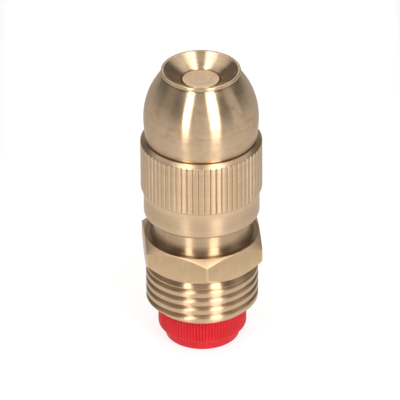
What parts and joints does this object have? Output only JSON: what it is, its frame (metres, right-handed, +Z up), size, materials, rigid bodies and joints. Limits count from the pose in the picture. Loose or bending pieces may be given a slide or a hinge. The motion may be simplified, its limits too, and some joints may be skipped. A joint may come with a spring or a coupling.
{
  "type": "adjustable burner nozzle",
  "caption": "Twist-adjustable brass spray nozzle for oil burners: bullet cap round a flat pin, knurled sleeve, hexagon, male pipe thread, ribbed plug in the inlet.",
  "frame": {"origin": "centre of the underside of the protective plug, on the spray axis, where the nozzle stands", "axes": "+Z up along the spray axis, from the inlet to the outlet; -Y faces the viewer, with one corner of the hexagon near it"},
  "size_m": [0.0224, 0.0246, 0.0558],
  "materials": {
    "body_brass": "satin turned",
    "sleeve_brass": "satin turned, straight knurl",
    "cap_brass": "polished turned",
    "pin_brass": "fine turned face",
    "inner_brass": "as turned",
    "steel": "plain",
    "spring_steel": "spring temper",
    "seal_rubber": "smooth",
    "backing_plastic": "plain",
    "strainer_plastic": "plain",
    "gauze": "woven gauze",
    "plug_plastic": "semi-gloss moulded"
  },
  "bodies": {
    "nipple": {"nozzle_body": "body_brass", "spray_pin": "pin_brass", "pin_carrier": "inner_brass", "swirl_distributor": "inner_brass", "pin_lock_nut": "steel", "lock_washer": "spring_steel", "stop_ring": "spring_steel", "valve_seat_ring": "inner_brass", "spring_retainer": "inner_brass", "valve_spring": "spring_steel", "strainer_collar": "strainer_plastic", "strainer_cage": "strainer_plastic", "strainer_gauze": "gauze", "strainer_end_cap": "strainer_plastic", "strainer_snap_ring": "spring_steel"},
    "gland_rings": {"sleeve_o_ring": "seal_rubber", "sleeve_backup_ring": "backing_plastic"},
    "sleeve": {"adjusting_sleeve": "sleeve_brass", "nozzle_cap": "cap_brass", "cap_o_ring": "seal_rubber"},
    "valve": {"valve_poppet": "steel"},
    "plug": {"protective_plug": "plug_plastic"}
  },
  "joints": [
    {"name": "sleeve_travel", "type": "slide", "parent": "nipple", "child": "gland_rings", "axis": [0, 0, 1], "range_m": [-0.002, 0.002]},
    {"name": "sleeve_turn", "type": "hinge", "parent": "gland_rings", "child": "sleeve", "pos_m": [0, 0, 0.036], "axis": [0, 0, 1], "range_deg": [-720, 720]},
    {"name": "valve_lift", "type": "slide", "parent": "nipple", "child": "valve", "axis": [0, 0, 1], "range_m": [0, 0.0016], "stiffness_N_per_m": 400, "springref_m": -0.002, "deforming": ["valve_spring"]},
    {"name": "plug_pull", "type": "slide", "parent": "nipple", "child": "plug", "axis": [0, 0, -1], "range_m": [0, 0.02]}
  ],
  "couplings": [
    {"joint": "sleeve_turn", "follows": "sleeve_travel", "rad_per_m": 6283.2}
  ]
}
